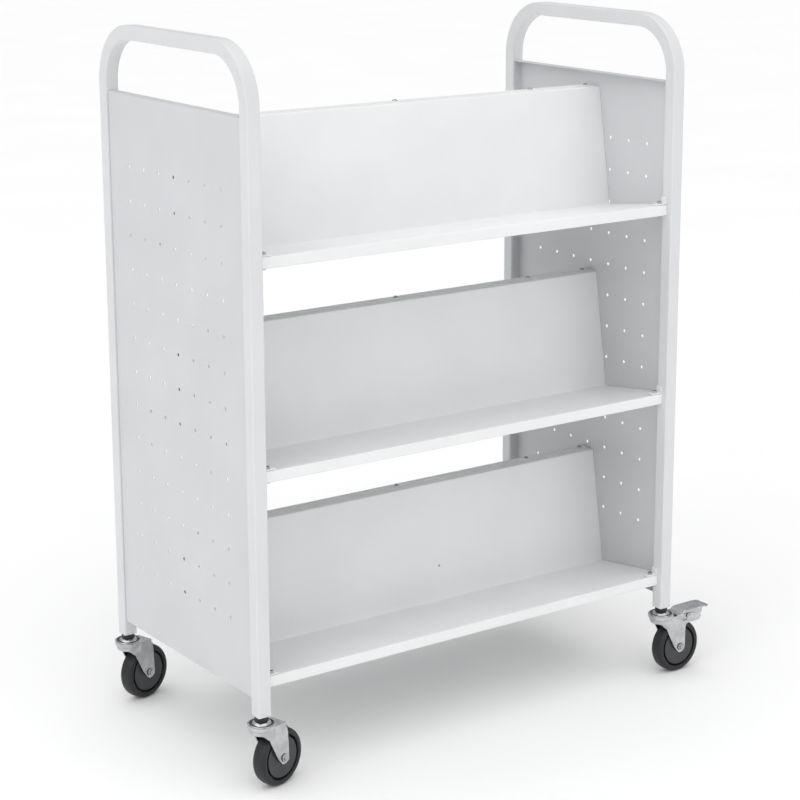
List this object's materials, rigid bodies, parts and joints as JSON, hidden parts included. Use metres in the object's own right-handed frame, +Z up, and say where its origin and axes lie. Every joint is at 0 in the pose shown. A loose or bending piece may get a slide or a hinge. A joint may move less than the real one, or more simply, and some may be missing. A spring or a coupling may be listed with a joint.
{
  "type": "book cart",
  "caption": "Double-sided library book cart with sloped shelves between two perforated end panels, bent-tube push bars, swivel casters and brake pedals.",
  "frame": {"origin": "on the floor under the middle of the two end frames", "axes": "+Z up, X along the shelves, -Y towards the front shelves"},
  "size_m": [1.0303, 0.5373, 1.262],
  "materials": {
    "frame_paint": "semi-gloss powder coat",
    "panel_paint": "semi-gloss powder coat",
    "shelf_paint": "semi-gloss powder coat",
    "bracket_paint": "semi-gloss powder coat",
    "tyre_rubber": "satin moulded rubber",
    "wheel_plastic": "satin moulded",
    "insert_plastic": "matt moulded",
    "pressed_zinc": "bright zinc plated",
    "bolt_zinc": "bright zinc plated",
    "ball_steel": "polished",
    "sleeve_steel": "turned"
  },
  "bodies": {
    "root": {"left_end_frame": "frame_paint", "right_end_frame": "frame_paint", "left_end_panel": "panel_paint", "right_end_panel": "panel_paint", "bottom_shelf_front": "shelf_paint", "bottom_shelf_back": "shelf_paint", "middle_shelf_front": "shelf_paint", "middle_shelf_back": "shelf_paint", "top_shelf_front": "shelf_paint", "top_shelf_back": "shelf_paint", "left_shelf_cleats": "bracket_paint", "right_shelf_cleats": "bracket_paint", "cleat_screws": "bolt_zinc", "cleat_nuts": "bolt_zinc", "left_ridge_clips": "bracket_paint", "right_ridge_clips": "bracket_paint", "ridge_screws": "bolt_zinc", "ridge_nuts": "bolt_zinc", "leg_inserts": "insert_plastic", "caster_stems": "bolt_zinc", "upper_races": "pressed_zinc", "king_nuts": "bolt_zinc"},
    "left_front_swivel": {"left_front_fork": "pressed_zinc", "left_front_balls": "ball_steel", "left_front_axle": "bolt_zinc", "left_front_axle_nut": "bolt_zinc", "left_front_sleeve": "sleeve_steel"},
    "left_front_wheel": {"left_front_hub": "wheel_plastic", "left_front_tyre": "tyre_rubber"},
    "left_back_swivel": {"left_back_fork": "pressed_zinc", "left_back_balls": "ball_steel", "left_back_axle": "bolt_zinc", "left_back_axle_nut": "bolt_zinc", "left_back_sleeve": "sleeve_steel"},
    "left_back_wheel": {"left_back_hub": "wheel_plastic", "left_back_tyre": "tyre_rubber"},
    "right_front_swivel": {"right_front_fork": "pressed_zinc", "right_front_balls": "ball_steel", "right_front_axle": "bolt_zinc", "right_front_axle_nut": "bolt_zinc", "right_front_sleeve": "sleeve_steel", "right_front_pedal_pin": "bolt_zinc"},
    "right_front_wheel": {"right_front_hub": "wheel_plastic", "right_front_tyre": "tyre_rubber"},
    "right_front_brake": {"right_front_pedal": "pressed_zinc"},
    "right_back_swivel": {"right_back_fork": "pressed_zinc", "right_back_balls": "ball_steel", "right_back_axle": "bolt_zinc", "right_back_axle_nut": "bolt_zinc", "right_back_sleeve": "sleeve_steel", "right_back_pedal_pin": "bolt_zinc"},
    "right_back_wheel": {"right_back_hub": "wheel_plastic", "right_back_tyre": "tyre_rubber"},
    "right_back_brake": {"right_back_pedal": "pressed_zinc"}
  },
  "joints": [
    {"name": "left_front_swivel_turn", "type": "hinge", "parent": "root", "child": "left_front_swivel", "pos_m": [-0.4475, -0.2375, 0.1], "axis": [0, 0, 1], "continuous": true},
    {"name": "left_front_wheel_spin", "type": "hinge", "parent": "left_front_swivel", "child": "left_front_wheel", "pos_m": [-0.41116, -0.22639, 0.051], "axis": [-0.2924, 0.9563, 0], "continuous": true},
    {"name": "left_back_swivel_turn", "type": "hinge", "parent": "root", "child": "left_back_swivel", "pos_m": [-0.4475, 0.2375, 0.1], "axis": [0, 0, 1], "continuous": true},
    {"name": "left_back_wheel_spin", "type": "hinge", "parent": "left_back_swivel", "child": "left_back_wheel", "pos_m": [-0.41116, 0.24861, 0.051], "axis": [-0.2924, 0.9563, 0], "continuous": true},
    {"name": "right_front_swivel_turn", "type": "hinge", "parent": "root", "child": "right_front_swivel", "pos_m": [0.4475, -0.2375, 0.1], "axis": [0, 0, 1], "continuous": true},
    {"name": "right_front_wheel_spin", "type": "hinge", "parent": "right_front_swivel", "child": "right_front_wheel", "pos_m": [0.48549, -0.23684, 0.051], "axis": [-0.0175, 0.9998, 0], "continuous": true},
    {"name": "right_front_brake_press", "type": "hinge", "parent": "right_front_swivel", "child": "right_front_brake", "pos_m": [0.50349, -0.23652, 0.1105], "axis": [-0.0175, 0.9998, 0], "range_deg": [0, 12]},
    {"name": "right_back_swivel_turn", "type": "hinge", "parent": "root", "child": "right_back_swivel", "pos_m": [0.4475, 0.2375, 0.1], "axis": [0, 0, 1], "continuous": true},
    {"name": "right_back_wheel_spin", "type": "hinge", "parent": "right_back_swivel", "child": "right_back_wheel", "pos_m": [0.48549, 0.23816, 0.051], "axis": [-0.0175, 0.9998, 0], "continuous": true},
    {"name": "right_back_brake_press", "type": "hinge", "parent": "right_back_swivel", "child": "right_back_brake", "pos_m": [0.50349, 0.23848, 0.1105], "axis": [-0.0175, 0.9998, 0], "range_deg": [0, 12]}
  ]
}
